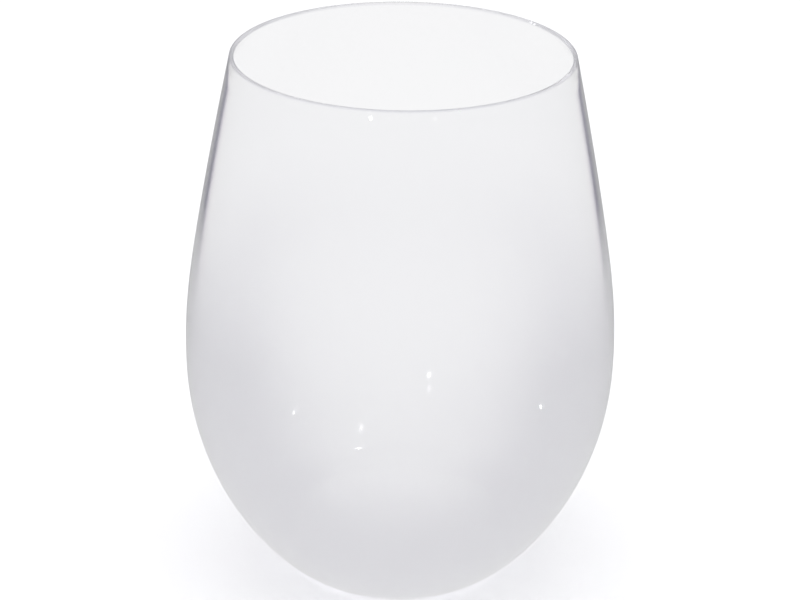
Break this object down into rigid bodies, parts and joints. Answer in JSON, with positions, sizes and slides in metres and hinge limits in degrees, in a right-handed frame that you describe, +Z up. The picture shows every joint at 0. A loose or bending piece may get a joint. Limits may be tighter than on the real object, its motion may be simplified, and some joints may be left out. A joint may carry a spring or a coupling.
{
  "type": "stemless wine glass",
  "caption": "Stemless wine glass: a rounded blown bowl with a thin clear rim, a frosted white coat that fades out up its outside, and a flat foot ring.",
  "frame": {"origin": "centre of the foot, on the surface that the glass stands on", "axes": "+Z up along the axis of the bowl, towards the rim; X and Y are any two directions square to it"},
  "size_m": [0.095, 0.095, 0.12],
  "materials": {
    "clear_glass": "clear, smooth and glossy, fire-polished at the rim",
    "frosted_white": "milky white lacquer, glossy, full over the lower half and fading to clear below the rim"
  },
  "bodies": {
    "root": {"glass_bowl": "clear_glass", "frosted_coat": "frosted_white"}
  },
  "joints": []
}
